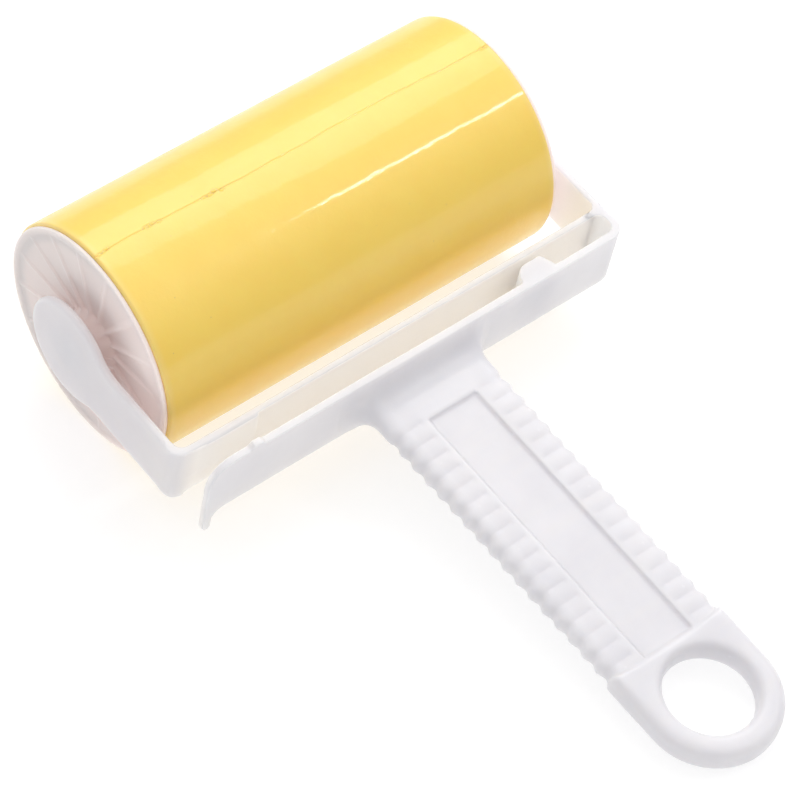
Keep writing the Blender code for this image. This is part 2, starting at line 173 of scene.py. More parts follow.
# painted glow: emission that lightens the caps towards the front and near the hub
CAP_PAINTED_GLOW = (0.12, 0.09, 0.085)
BLACK = (0.0, 0.0, 0.0)
GEL_PALE = (0.985, 0.69, 0.135)
GEL_DEEP = (0.975, 0.67, 0.125)
GEL_EDGE = (0.95, 0.75, 0.33)
SEAM_COLOUR = (0.55, 0.50, 0.30)
DUST_COLOUR = (0.60, 0.42, 0.20)

# ---- camera and light ---------------------------------------------------------------
CAMERA_AT = (-0.393277, -0.399721, 0.672258)
CAMERA_TURN = (41.1395, -2.577, -39.6604)     # degrees
CAMERA_LENS = 155.245
STRIP_START = (0.394, -0.340, 0.759)          # left end of the thin light, metres
STRIP_RUN = (0.132, 0.0124, -0.0306)
STRIP_LENGTH = 0.22
STRIP_WIDTH = 0.032
STRIP_RADIANCE = 30.0
KEY_FROM = (134, 52, 1.1)                     # azimuth, elevation, distance in metres
KEY_SIZE = (0.85, 0.72)
KEY_RADIANCE = 2.35
SKY_STRENGTH = 1.15
SKY_LOW = (0.15, 0.15, 0.165)
SKY_HIGH = (1.0, 0.995, 0.99)
FLOOR_GLOW = 0.65             # the paper is lit from below a little, as on a light table


# ---- mesh helpers -------------------------------------------------------------------
def smooth_step(low, high, value):
    """0 below low, 1 above high, with a soft rise between them."""
    t = min(max((value - low) / (high - low), 0.0), 1.0)
    return t * t * (3 - 2 * t)


def arc(cx, cy, r, start, end, steps):
    """Points of an arc in a plane, from one angle to another in degrees."""
    points = []
    for i in range(steps + 1):
        a = radians(start + (end - start) * i / steps)
        points.append((cx + r * cos(a), cy + r * sin(a)))
    return points


def soften(profile, reach, steps=4):
    """Replace each corner of a closed profile by a short curve."""
    points = []
    count = len(profile)
    for i in range(count):
        here = Vector(profile[i])
        before = Vector(profile[i - 1]) - here
        after = Vector(profile[(i + 1) % count]) - here
        near = here + before.normalized() * min(reach, before.length * 0.45)
        far = here + after.normalized() * min(reach, after.length * 0.45)
        for k in range(steps + 1):
            t = k / steps
            points.append(tuple(near.lerp(here, t).lerp(here.lerp(far, t), t)))
    return points


def prism(outline, low, high, place):
    """Extrude a closed outline between two levels; place(u, v, w) gives a point."""
    bm = bmesh.new()
    bottom = [bm.verts.new(place(u, v, low)) for u, v in outline]
    top = [bm.verts.new(place(u, v, high)) for u, v in outline]
    bm.faces.new(bottom)
    bm.faces.new(list(reversed(top)))
    count = len(outline)
    for i in range(count):
        j = (i + 1) % count
        bm.faces.new((bottom[i], top[i], top[j], bottom[j]))
    bmesh.ops.recalc_face_normals(bm, faces=bm.faces)
    return bm


def round_edges(bm, width, segments, wanted):
    """Bevel the sharp edges for which wanted(edge) holds."""
    edges = [e for e in bm.edges if e.calc_face_angle(0) > radians(40) and wanted(e)]
    bmesh.ops.bevel(bm, geom=edges, offset=width, offset_type="OFFSET",
                    segments=segments, profile=0.5, affect="EDGES",
                    clamp_overlap=True)


def on_plane(edge, axis, value):
    """Whether an edge lies in the plane where this axis (0, 1, 2) has this value."""
    return all(abs(v.co[axis] - value) < 0.001 for v in edge.verts)


def bridge(bm, rings):
    """Join each closed ring of vertices to the next one, and the last to the first."""
    count = len(rings[0])
    for i, here in enumerate(rings):
        there = rings[(i + 1) % len(rings)]
        for k in range(count):
            n = (k + 1) % count
            bm.faces.new((here[k], here[n], there[n], there[k]))


def lathe(profile, steps, side=1):
    """Turn a closed (x, r) profile about the drum's axis; side -1 mirrors it in x."""
    bm = bmesh.new()
    rings = []
    for i in range(steps):
        a = 2 * pi * i / steps
        rings.append([bm.verts.new((side * x, r * cos(a), r * sin(a))) for x, r in profile])
    bridge(bm, rings)
    return bm


def as_object(bm, name):
    """Turn a bmesh into an object with outward normals, and free the bmesh."""
    bmesh.ops.remove_doubles(bm, verts=bm.verts, dist=1e-4)
    bmesh.ops.recalc_face_normals(bm, faces=bm.faces)
    if bm.calc_volume(signed=True) < 0:
        bmesh.ops.reverse_faces(bm, faces=bm.faces)
    mesh = bpy.data.meshes.new(name)
    bm.to_mesh(mesh)
    bm.free()
    obj = bpy.data.objects.new(name, mesh)
    bpy.context.scene.collection.objects.link(obj)
    return obj


def evaluated_mesh(obj):
    """The object's mesh with its modifiers applied."""
    depsgraph = bpy.context.evaluated_depsgraph_get()
    return bpy.data.meshes.new_from_object(obj.evaluated_get(depsgraph))


def boolean(target, cutter, operation):
    """Combine two bmeshes exactly and return the result as a new bmesh."""
    objects = [as_object(bm, "work") for bm in (target, cutter)]
    modifier = objects[0].modifiers.new("combine", "BOOLEAN")
    modifier.operation = operation
    modifier.solver = "EXACT"
    modifier.object = objects[1]
    result = bmesh.new()
    result.from_mesh(evaluated_mesh(objects[0]))
    for obj in objects:
        bpy.data.objects.remove(obj, do_unlink=True)
    return result


def fuse(parts):
    """Melt overlapping closed shapes into one moulding with small fillets."""
    whole = bmesh.new()
    for part in parts:
        lone = as_object(part, "work")
        whole.from_mesh(lone.data)
        bpy.data.objects.remove(lone, do_unlink=True)
    mesh = bpy.data.meshes.new("work")
    whole.to_mesh(mesh)
    whole.free()
    obj = bpy.data.objects.new("work", mesh)
    bpy.context.scene.collection.objects.link(obj)
    melt = obj.modifiers.new("melt", "REMESH")
    melt.mode = "VOXEL"
    melt.voxel_size = VOXEL
    ease = obj.modifiers.new("ease", "SMOOTH")
    ease.factor = 0.5
    ease.iterations = 3
    result = bmesh.new()
    result.from_mesh(evaluated_mesh(obj))
    bpy.data.objects.remove(obj, do_unlink=True)
    return result


def add_unevenness(bm, *waves):
    """Move each point along its normal by smooth noise: waves are (length, height)."""
    bm.normal_update()
    moves = []
    for vert in bm.verts:
        lift = sum(height * noise.noise(vert.co / length) for length, height in waves)
        moves.append((vert, vert.normal * lift))
    for vert, move in moves:
        vert.co += move


def place(name, bm, body, slot, material, *stands_for):
    """Lay a finished shape in the world as one named piece of a CAD body."""
    obj = as_object(bm, name)
    obj.data.transform(YOKE_FRAME)
    obj.data.materials.append(material)
    obj.data.shade_smooth()
    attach(obj, body)
    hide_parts(*stands_for)
    return obj


# ---- yoke shapes --------------------------------------------------------------------
def neck_fillet(level):
    """Concave blend from an arm's edge at this level into its round end."""
    sign = 1 if level > 0 else -1
    centre_z = level + sign * ARM_NECK_FILLET
    centre_y = -sqrt((ARM_END_R + ARM_NECK_FILLET) ** 2 - centre_z ** 2)
    touch = atan2(centre_z, centre_y)
    start = -sign * 90
    points = arc(centre_y, centre_z, ARM_NECK_FILLET, start, degrees(touch) - sign * 180, 14)
    return points, touch


def arm(side, end_y):
    """A flat arm beside the drum, its rims rounded."""
    upper, touch_up = neck_fillet(TOP_Z)
    lower, touch_low = neck_fillet(BOTTOM_Z)
    round_end = arc(0, 0, ARM_END_R, degrees(touch_up), degrees(touch_low), 72)[1:-1]
    outline = [(end_y, TOP_Z)] + upper + round_end + lower[::-1] + [(end_y, BOTTOM_Z)]
    bm = prism(outline, ARM_IN, ARM_OUT, lambda u, v, w: (side * w, u, v))
    for x, width in ARM_RIMS:
        def rim(e, x=side * x):
            return on_plane(e, 0, x) and not on_plane(e, 1, end_y)

        round_edges(bm, width, 4, rim)
    return bm


def pivot(side):
    """Boss and stub that the cap's hub turns on, sunk into the arm."""
    face = HUB_FACE + 2 * GAP
    profile = soften([
        (STUB_TIP, PIVOT_CORE_R),
        (STUB_TIP, STUB_R),
        (face, STUB_R),
        (face, BOSS_R),
        (ARM_IN + SINK, BOSS_R),
        (ARM_IN + SINK, PIVOT_CORE_R),
    ], 0.4, 3)
    return lathe(profile, 96, side)


def bar_front_view():
    """The bar seen from the handle (x, z): its lower edge steps up beside the corner."""
    low = BOTTOM_Z + BAR_STEP
    outline = [(-ARM_OUT - 1, TOP_Z), (-ARM_OUT - 1, BOTTOM_Z), (BAR_STEP_X - BAR_STEP, BOTTOM_Z)]
    outline += arc(BAR_STEP_X, BOTTOM_Z, BAR_STEP, 180, 90, 6)[1:]
    outline += [(ARM_OUT, low), (ARM_OUT, TOP_Z)]
    return outline


def spring_bar():
    """The flexible bar with its rounded corner; its far end is sunk in the root."""
    outer = (-ARM_OUT + BAR_CORNER_OUT, BAR_FRONT + BAR_CORNER_OUT)
    inner = (-ARM_IN + BAR_CORNER_IN, BAR_BACK + BAR_CORNER_IN)
    end_x = ARM_IN - SINK
    outline = [(-ARM_OUT, CORNER_END_Y)]
    outline += arc(*outer, BAR_CORNER_OUT, 180, 270, 20)
    outline += [(end_x, BAR_FRONT), (end_x, BAR_BACK)]
    outline += arc(*inner, BAR_CORNER_IN, 270, 180, 14)
    outline += [(-ARM_IN, CORNER_END_Y)]
    plan = prism(outline, BOTTOM_Z - 2, TOP_Z + 2, lambda u, v, w: (u, v, w))
    front = prism(bar_front_view(), BAR_FRONT - 6, CORNER_END_Y + 2,
                  lambda u, v, w: (u, w, v))
    bm = boolean(plan, front, "INTERSECT")

    def rim(e):
        levels = (TOP_Z, BOTTOM_Z, BOTTOM_Z + BAR_STEP)
        return any(on_plane(e, 2, z) for z in levels) and e.calc_length() > 0.02

    round_edges(bm, BAR_ROUND, 3, rim)
    return bm


def bar_root():
    """The right arm's filleted root, in which the bar's end disappears without a step."""
    fillet = BAR_ROOT_FILLET
    tip_x = ARM_IN - fillet - 2.5
    sunk_x = ARM_IN + 0.8
    middle = (BAR_FRONT + BAR_BACK) / 2
    proud = 0.03
    outline = [(tip_x, middle + 0.5), (tip_x, middle - 0.5)]
    outline += arc(ARM_IN - fillet, BAR_FRONT - proud - fillet, fillet, 90, 0, 10)
    outline += [(sunk_x, BAR_FRONT - fillet), (sunk_x, BAR_BACK + fillet)]
    outline += arc(ARM_IN - fillet, BAR_BACK + proud + fillet, fillet, 0, -90, 10)
    return prism(outline, BOTTOM_Z + BAR_STEP - proud, TOP_Z + proud,
                 lambda u, v, w: (u, v, w))


def spring_bar_pad():
    """Thin raised pad near the bar's corner, its free lower corner rounded."""
    left, right = PAD_X
    face = BAR_FRONT - PAD_T
    back = BAR_FRONT + 0.5
    top = TOP_Z - 0.3
    low = TOP_Z - PAD_DROP
    turn = 4.0
    outline = [(left, low), (left, top), (right, top)]
    outline += arc(right - turn, low + turn, turn, 0, -90, 12)
    front = prism(outline, face - 2, back + 2, lambda u, v, w: (u, w, v))
    slope = [(left - 1, back), (left - 1, BAR_FRONT + 0.1), (left + PAD_TAPER, face),
             (right + 1, face), (right + 1, back)]
    plan = prism(slope, low - 2, top + 2, lambda u, v, w: (u, v, w))
    return boolean(plan, front, "INTERSECT")


def wall_plan():
    """Top view (x, y) of the front wall, with the stop tab that reaches into the slot."""
    tab_y = WALL_BACK + TAB_REACH
    turn = (ARM_OUT - WALL_TURN_R, WALL_FRONT + WALL_TURN_R)
    inner = WALL_TURN_R - ARM_T
    outline = [(WALL_LEFT_X, WALL_FRONT)]
    outline += arc(*turn, WALL_TURN_R, 270, 360, 24)
    outline += [(ARM_OUT, turn[1] + 1), (ARM_IN, turn[1] + 1)]
    outline += arc(*turn, inner, 360, 270, 12)
    turn_x = TAB_X[0] + TAB_TURN
    outline += [(TAB_X[1], WALL_BACK), (TAB_X[1] - TAB_SLANT, tab_y), (turn_x, tab_y)]
    outline += arc(turn_x, WALL_BACK, TAB_REACH, 100, 170, 8)
    outline += [(TAB_X[0] - 0.4, WALL_BACK), (WALL_LEFT_X, WALL_BACK)]
    return outline


def wall_front_view():
    """Front view (x, z): rounded free corner, finger lip under it, nub on top."""
    left = WALL_LEFT_X
    right = ARM_OUT
    tip = BOTTOM_Z - FIN_DROP
    half = FIN_W / 2
    low_turn = 2.4
    outline = arc(left + WALL_CORNER_R, TOP_Z - WALL_CORNER_R, WALL_CORNER_R, 180, 90, 24)
    outline += [
        (NUB_X - NUB_FOOT, TOP_Z),
        (NUB_X - NUB_TOP, TOP_Z + NUB_H),
        (NUB_X + NUB_TOP, TOP_Z + NUB_H),
        (NUB_X + NUB_FOOT, TOP_Z),
        (right, TOP_Z),
    ]
    outline += arc(right - low_turn, BOTTOM_Z + low_turn, low_turn, 0, -90, 10)
    outline += arc(left + FIN_W + FIN_FILLET, BOTTOM_Z - FIN_FILLET, FIN_FILLET, 90, 180, 14)
    outline += arc(left + half, tip + half, half, 0, -180, 12)
    return outline


def front_wall():
    over = 12
    plan = prism(wall_plan(), BOTTOM_Z - over, TOP_Z + over, lambda u, v, w: (u, v, w))
    front = prism(wall_front_view(), WALL_FRONT - over, WALL_BACK + over,
                  lambda u, v, w: (u, w, v))
    bm = boolean(plan, front, "INTERSECT")

    def long_rim(e):
        face = on_plane(e, 1, WALL_FRONT) or on_plane(e, 1, WALL_BACK)
        return face and e.calc_length() > 0.15

    round_edges(bm, EDGE_ROUND, 4, long_rim)
    return bm


# ---- handle shapes ------------------------------------------------------------------
def ridge_swell(y):
    """0 in a groove, 1 on a ridge and on the plain shoulder before the first groove."""
    travel = (PANEL_Y[0] - y) / RIDGE_PITCH
    if travel < -0.5:
        return 1.0
    if travel >= RIDGES:
        return 0.0
    return abs(sin(pi * travel)) ** 0.62


def root_swell(y):
    """How far the concave root fillet lifts the surface at y."""
    distance = max(WALL_FRONT - y, 0.0)
    if distance >= ROOT_FILLET:
        return 0.0
    return ROOT_FILLET - sqrt(ROOT_FILLET ** 2 - (ROOT_FILLET - distance) ** 2)


def grip_half_section(y):
    """Upper right quarter of the grip's cross-section at y, from its middle outwards."""
    swell = ridge_swell(y)
    root = root_swell(y)
    half_w = GRIP_HALF_W + root * 0.9
    half_h = GRIP_HALF_H + min(root, TOP_Z - PLANE_Z - GRIP_HALF_H - 0.4)
    recess = PANEL_DEPTH * smooth_step(-PANEL_STEP, 0, PANEL_Y[0] - PANEL_STEP - y)
    starts, full, falls, ends = RIDGE_REACH
    side_x = half_w - GRIP_SIDE

    def level(x):
        in_panel = 1 - smooth_step(PANEL_HALF_W - PANEL_STEP, PANEL_HALF_W, x)
        pad = smooth_step(starts, full, x) * (1 - smooth_step(falls, ends, x))
        dome = GRIP_DOME * smooth_step(PANEL_HALF_W, side_x + 1.5, x)
        return half_h - recess * in_panel - dome - RIDGE_H * (1 - swell) * pad

    stops = [0.0, PANEL_HALF_W * 0.5, PANEL_HALF_W - PANEL_STEP - 0.4]
    stops += [PANEL_HALF_W - PANEL_STEP * (1 - i / 4) for i in range(5)]
    stops += [PANEL_HALF_W + (side_x - PANEL_HALF_W) * i / 14 for i in range(1, 15)]
    points = [(x, level(x)) for x in stops]
    shoulder = level(side_x)
    for i in range(1, 13):
        a = pi / 2 * (1 - i / 12)
        tooth = RIDGE_W * swell ** TOOTH_SHARPNESS * cos(a) ** 1.5
        points.append((side_x + GRIP_SIDE * cos(a) ** 0.85 + tooth, shoulder * sin(a) ** 0.85))
    return points


def handle_grip():
    """The grip as one loft, its first section inside the front wall."""
    bm = bmesh.new()
    loops = []
    start = WALL_FRONT + SINK
    count = 300
    for i in range(count + 1):
        y = start + (GRIP_END_Y - 0.8 - start) * i / count
        quarter = grip_half_section(y)
        right = quarter + [(x, -z) for x, z in quarter[-2::-1]]
        section = right + [(-x, z) for x, z in right[-2:0:-1]]
        loops.append([bm.verts.new((x, y, z + PLANE_Z)) for x, z in section])
    size = len(loops[0])
    for near, far in zip(loops, loops[1:]):
        for k in range(size):
            n = (k + 1) % size
            bm.faces.new((near[k], far[k], far[n], near[n]))
    bm.faces.new(loops[0])
    bm.faces.new(loops[-1][::-1])
    return bm


def ring_reach(a):
    """Distance from the hole's centre to the ring's outline in direction a."""
    across, along = cos(a), sin(a)
    offset = RING_HOLE_Y - RING_Y
    reach = sqrt(RING_R ** 2 - (offset * across) ** 2) - offset * along
    if along > 0:
        reach = (RING_NECK_Y - RING_HOLE_Y) / along
        if abs(across) > 0.001:
            reach = min(reach, RING_R / abs(across))
    return reach


def hang_ring():
    """The loop at the handle's end: one rounded section swept around its hole."""
    bm = bmesh.new()
    rings = []
    steps = 360
    high = RING_HALF_H
    for i in range(steps):
        a = 2 * pi * i / steps
        reach = ring_reach(a)
        hole, rim = RING_HOLE_ROUND, RING_ROUND
        section = arc(RING_HOLE_R + hole, high - hole, hole, 180, 90, 8)
        section += arc(reach - rim, high - rim, rim, 90, 0, 10)
        section += [(r, -z) for r, z in section[::-1]]
        rings.append([
            bm.verts.new((r * cos(a), RING_HOLE_Y + r * sin(a), z + PLANE_Z))
            for r, z in section
        ])
    bridge(bm, rings)
    return bm


# ---- drum shapes --------------------------------------------------------------------
def seam_angle(x):
    """Where the sleeve's seam lies at x, in degrees; it wanders a little."""
    wave = noise.noise(Vector((x / 34.0, 5.3, 0.7)))
    wave += 0.3 * noise.noise(Vector((x / 7.0, 1.9, 3.1)))
    return SEAM_ANGLE + SEAM_WANDER * wave


def sleeve_stations():
    """Offsets from the seam in degrees: close together at it, then evenly around."""
    close = [0.0, 0.12, 0.24, 0.36, 0.5, 0.65, 0.85, 1.1, 1.4, 1.8, 2.3, 3.0]
    wide = [4.0 + 1.25 * i for i in range(141)]
    half = close[1:] + [w for w in wide if w < 180]
    return [-w for w in half[::-1]] + [0.0] + half


def bubble_height(x, across):
    """Small blisters trapped under the sleeve's edge, as a height at a place near the seam."""
    height = 0.0
    for k, mark in enumerate(SEAM_MARKS):
        for j in range(4):
            wobble = noise.noise_vector(Vector((k * 3.7, j * 5.1, 0.4)))
            along = (x - mark - 1.4 * (j - 1.5) - wobble.x) / (0.55 + 0.4 * abs(wobble.z))
            aside = (across - 1.3 * wobble.y) / 0.40
            away = sqrt(along ** 2 + aside ** 2)
            height += 0.10 * exp(-away ** 2) - 0.20 * exp(-((away - 1.2) / 0.3) ** 2)
    return height


def sleeve_relief(x, angle, offset):
    """Height of the gel's surface over a true cylinder, mm."""
    across = radians(offset) * SLEEVE_R
    spot = Vector((x, SLEEVE_R * cos(angle), SLEEVE_R * sin(angle)))
    height = 0.07 * noise.noise(spot / 21.0) + 0.022 * noise.noise(spot / 4.5)
    height += 0.012 * noise.noise(spot / 1.5)
    height -= SEAM_DEPTH * exp(-(across / SEAM_HALF_W) ** 2)
    height += 0.05 * smooth_step(0.0, 0.5, across) * (1 - smooth_step(2.0, 6.0, across))
    if abs(across) < 2:
        height += bubble_height(x, across)
    return height - 0.09


def gel_sleeve():
    """The sticky sleeve, fine enough to carry its seam, blisters and slight waves."""
    half = SLEEVE_L / 2
    soft = SLEEVE_ROUND
    inner = SLEEVE_R - SLEEVE_T
    lengthwise = 400
    straight = [half - soft - (SLEEVE_L - 2 * soft) * i / lengthwise for i in range(1, lengthwise)]
    profile = [(-half, inner), (half, inner)]
    profile += arc(half - soft, SLEEVE_R - soft, soft, 0, 90, 6)
    profile += [(x, SLEEVE_R) for x in straight]
    profile += arc(-half + soft, SLEEVE_R - soft, soft, 90, 180, 6)
    bm = bmesh.new()
    rings = []
    for offset in sleeve_stations():
        ring = []
        for x, r in profile:
            angle = radians(seam_angle(x) + offset)
            lift = sleeve_relief(x, angle, offset) if r > SLEEVE_R - soft * 0.9 else 0.0
            ring.append(bm.verts.new((x, (r + lift) * cos(angle), (r + lift) * sin(angle))))
        rings.append(ring)
    bridge(bm, rings)
    return bm


def dish_level(r):
    """x of the cap's dished outer face at this radius."""
    share = (r - DISH_HUB[1]) / (DISH_RIM[1] - DISH_HUB[1])
    return DISH_HUB[0] + (DISH_RIM[0] - DISH_HUB[0]) * share


def cap_profile():
    """Closed (x, r) profile of an end cap, its corners softened."""
    seat = SLEEVE_L / 2 + CAP_SEAT_GAP
    skirt_r = CORE_R - CORE_T - GAP
    skirt_in = skirt_r - SKIRT_T
    radii = [DISH_RIM[1] + (DISH_HUB[1] - DISH_RIM[1]) * i / 8 for i in range(1, 8)]
    corners = [
        (HUB_FACE - HUB_L, BORE_R),
        (HUB_FACE - HUB_L, HUB_R),
        (DISH_HUB[0] - DISH_T, HUB_R),
        (DISH_RIM[0] - DISH_T, skirt_in),
        (seat - SKIRT_DEPTH, skirt_in),
        (seat - SKIRT_DEPTH, skirt_r),
        (seat, skirt_r),
        (seat, LIP_R),
        (CAP_LIP_X, LIP_R),
        (CAP_LIP_X, LIP_R - LIP_W),
        DISH_RIM,
    ]
    corners += [(dish_level(r), r) for r in radii]
    corners += [DISH_HUB, (HUB_FACE, HUB_R), (HUB_FACE, BORE_R)]
    return soften(corners, CAP_ROUND)


def rib_lift(x, r):
    """How far a rib's top stands over the cap's outer face at this point of the profile."""
    hub_top = (DISH_HUB[0] + CAP_RIB_AT_HUB, HUB_R - 0.8)
    rim_top = (CAP_LIP_X - CAP_RIB_AT_RIM, LIP_R - LIP_W - 0.8)
    along = (r - hub_top[1]) / (rim_top[1] - hub_top[1])
    outer_face = x > dish_level(r) - 0.5
    if not outer_face or not 0 < along < 1:
        return 0.0
    return max(hub_top[0] + (rim_top[0] - hub_top[0]) * along - x, 0.0)


def rib_stations():
    """(offset in mm across a rib, share of its height), for one side of the rib."""
    foot = CAP_RIB_HALF_T + CAP_RIB_FOOT
    count = 6
    return [(foot * i / count, 0.5 + 0.5 * cos(pi * i / count)) for i in range(count + 1)]


def end_cap(side):
    """A dished, ribbed cap turned from its profile, with a station line along each rib."""
    bm = bmesh.new()
    rings = []
    profile = cap_profile()
    step = 2 * pi / CAP_RIBS
    one_side = rib_stations()
    foot = one_side[-1][0]
    stations = [(-mm, share) for mm, share in one_side[:0:-1]] + one_side
    between = 5
    for rib in range(CAP_RIBS):
        middle = CAP_RIB_PHASE + step * rib
        for mm, share in stations:
            ring = []
            for x, r in profile:
                angle = middle + mm / max(r, HUB_R)
                high = x + share * rib_lift(x, r)
                ring.append(bm.verts.new((side * high, r * cos(angle), r * sin(angle))))
            rings.append(ring)
        for k in range(1, between + 1):
            ring = []
            for x, r in profile:
                edge = foot / max(r, HUB_R)
                angle = middle + edge + (step - 2 * edge) * k / (between + 1)
                ring.append(bm.verts.new((side * x, r * cos(angle), r * sin(angle))))
            rings.append(ring)
    bridge(bm, rings)
    return bm


# ---- material helpers ---------------------------------------------------------------
def new_material(name, **sockets):
    """A material whose shader's constant sockets are set directly."""
    mat = bpy.data.materials.new(name)
    mat.use_nodes = True
    shader = mat.node_tree.nodes["Principled BSDF"]
    for socket, value in sockets.items():
        shader.inputs[socket.replace("_", " ")].default_value = value
    return mat, mat.node_tree, shader


def add_node(tree, kind, inputs, **settings):
    """Add a node; inputs maps a socket's name or number to a value or another socket."""
    made = tree.nodes.new(kind)
    for name, value in settings.items():
        setattr(made, name, value)
    for key, value in inputs.items():
        if isinstance(value, bpy.types.NodeSocket):
            tree.links.new(value, made.inputs[key])
        else:
            made.inputs[key].default_value = value
    return made


def millimetres(tree):
    """Places on the piece in millimetres, in the frame that it was modelled in."""
    coordinates = tree.nodes.new("ShaderNodeTexCoord").outputs["Object"]
    undone = tree.nodes.new("ShaderNodeMapping")
    undone.vector_type = "TEXTURE"
    undone.inputs["Location"].default_value = DRUM_CENTRE
    undone.inputs["Rotation"].default_value = (TILT, 0, 0)
    undone.inputs["Scale"].default_value = (MM, MM, MM)
    tree.links.new(coordinates, undone.inputs["Vector"])
    return undone.outputs[0]


def grain(tree, where, size, detail=3.0, roughness=0.55):
    """Noise whose features are about size millimetres across."""
    made = add_node(tree, "ShaderNodeTexNoise",
                    {"Vector": where, "Scale": 1 / size, "Detail": detail,
                     "Roughness": roughness})
    return made.outputs["Fac"]


def remap(tree, value, low, high, to_low, to_high):
    made = add_node(tree, "ShaderNodeMapRange",
                    {"Value": value, "From Min": low, "From Max": high,
                     "To Min": to_low, "To Max": to_high})
    return made.outputs["Result"]


def maths(tree, operation, first, second=0.0):
    made = add_node(tree, "ShaderNodeMath", {0: first, 1: second}, operation=operation)
    return made.outputs[0]


def mix_colours(tree, factor, first, second):
    """Blend two colours, each a socket or an (r, g, b)."""
    inputs = {0: factor}
    for key, colour in ((6, first), (7, second)):
        inputs[key] = (*colour, 1.0) if isinstance(colour, tuple) else colour
    made = add_node(tree, "ShaderNodeMix", inputs, data_type="RGBA")
    return made.outputs[2]


def bump(tree, height, distance, strength, below=None):
    """A bump of this distance in metres, laid over an earlier one."""
    inputs = {"Height": height, "Distance": distance, "Strength": strength}
    if below is not None:
        inputs["Normal"] = below
    return add_node(tree, "ShaderNodeBump", inputs).outputs["Normal"]


def axis_distance(tree, y, z):
    """Distance from the drum's axis."""
    squares = [maths(tree, "MULTIPLY", part, part) for part in (y, z)]
    return maths(tree, "SQRT", maths(tree, "ADD", *squares))


# ---- materials ----------------------------------------------------------------------
def painted_slot_light_share(tree, where):
    """1 on the upright inner faces, where a lighter colour and an emission are painted in for
    light from the drum; else 0.
    """
    apart = add_node(tree, "ShaderNodeSeparateXYZ", {0: where})
    facing = tree.nodes.new("ShaderNodeNewGeometry").outputs["Normal"]
    up = add_node(tree, "ShaderNodeSeparateXYZ", {0: facing}).outputs[2]
    share = remap(tree, maths(tree, "ABSOLUTE", up), 0.75, 0.45, 0.0, 1.0)
    limits = (
        remap(tree, apart.outputs[1], WALL_FRONT + 0.3, WALL_FRONT + 1.6, 0.0, 1.0),
        remap(tree, apart.outputs[0], -ARM_OUT + 1.5, -ARM_OUT + 7.0, 0.0, 1.0),
        remap(tree, apart.outputs[0], ARM_IN + 0.6, ARM_IN + 0.2, 0.0, 1.0),
    )
    for limit in limits:
        share = maths(tree, "MULTIPLY", share, limit)
    return share


def moulded_plastic(name, light, shade, warm, roughness, has_slot):
    """White moulded plastic: faint clouds and flow lines, scuffed edges, painted shade in creases,
    fine grain; painted light and emission on the slot's inner faces or on the caps.
    """
    depth = 0.006 if has_slot else 0.0025
    mat, tree, shader = new_material(name, IOR=1.47, Subsurface_Weight=0.85,
                                     Subsurface_Scale=depth, Emission_Strength=1.0)
    shader.inputs["Subsurface Radius"].default_value = (1.0, 0.95, 0.92)
    where = millimetres(tree)
    clouds = grain(tree, where, 16.0, 4.0)
    stretched = add_node(tree, "ShaderNodeMapping", {"Vector": where, "Scale": (0.04, 0.4, 0.4)})
    flow = grain(tree, stretched.outputs[0], 1.6, 5.0, 0.6)
    specks = grain(tree, where, 0.35, 2.0)
    colour = mix_colours(tree, remap(tree, clouds, 0.35, 0.65, 0.0, 1.0), shade, light)
    colour = mix_colours(tree, remap(tree, flow, 0.5, 0.72, 0.0, 0.45), colour, warm)
    if has_slot:
        # painted light: the slot's upright inner faces get a lighter colour and a painted emission
        share = painted_slot_light_share(tree, where)
        colour = mix_colours(tree, share, colour, SLOT_PAINTED_LIGHT)
        glow = mix_colours(tree, share, BLACK, SLOT_PAINTED_GLOW)
    else:
        # painted light: the cap's emission rises towards the front and near the hub
        x, y, z = add_node(tree, "ShaderNodeSeparateXYZ", {0: where}).outputs
        front = remap(tree, y, 4.0, -22.0, 0.0, 1.0)
        hub = remap(tree, axis_distance(tree, y, z), 22.0, 8.0, 0.0, 0.4)
        share = maths(tree, "MAXIMUM", front, hub)
        glow = mix_colours(tree, share, BLACK, CAP_PAINTED_GLOW)
    tree.links.new(glow, shader.inputs["Emission Color"])
    pointed = tree.nodes.new("ShaderNodeNewGeometry").outputs["Pointiness"]
    worn = remap(tree, pointed, 0.52, 0.60, 0.0, 0.55)
    # painted shade: a darker, warmer colour in concave creases
    painted_crease_shade = remap(tree, pointed, 0.48, 0.40, 0.0, 0.12)
    colour = mix_colours(tree, worn, colour, tuple(min(c * 1.05, 0.95) for c in light))
    colour = mix_colours(tree, painted_crease_shade, colour, tuple(c * 0.82 for c in warm))
    colour = mix_colours(tree, remap(tree, specks, 0.66, 0.74, 0.0, 0.25), colour,
                         tuple(c * 0.86 for c in shade))
    tree.links.new(colour, shader.inputs["Base Color"])
    scuffs = grain(tree, where, 5.0, 6.0, 0.7)
    tree.links.new(remap(tree, scuffs, 0.35, 0.7, roughness - 0.07, roughness + 0.1),
                   shader.inputs["Roughness"])
    uneven = bump(tree, grain(tree, where, 7.0, 2.0), 0.0002, 0.35)
    tree.links.new(bump(tree, grain(tree, where, 0.5, 3.0), 0.00003, 0.35, uneven),
                   shader.inputs["Normal"])
    return mat


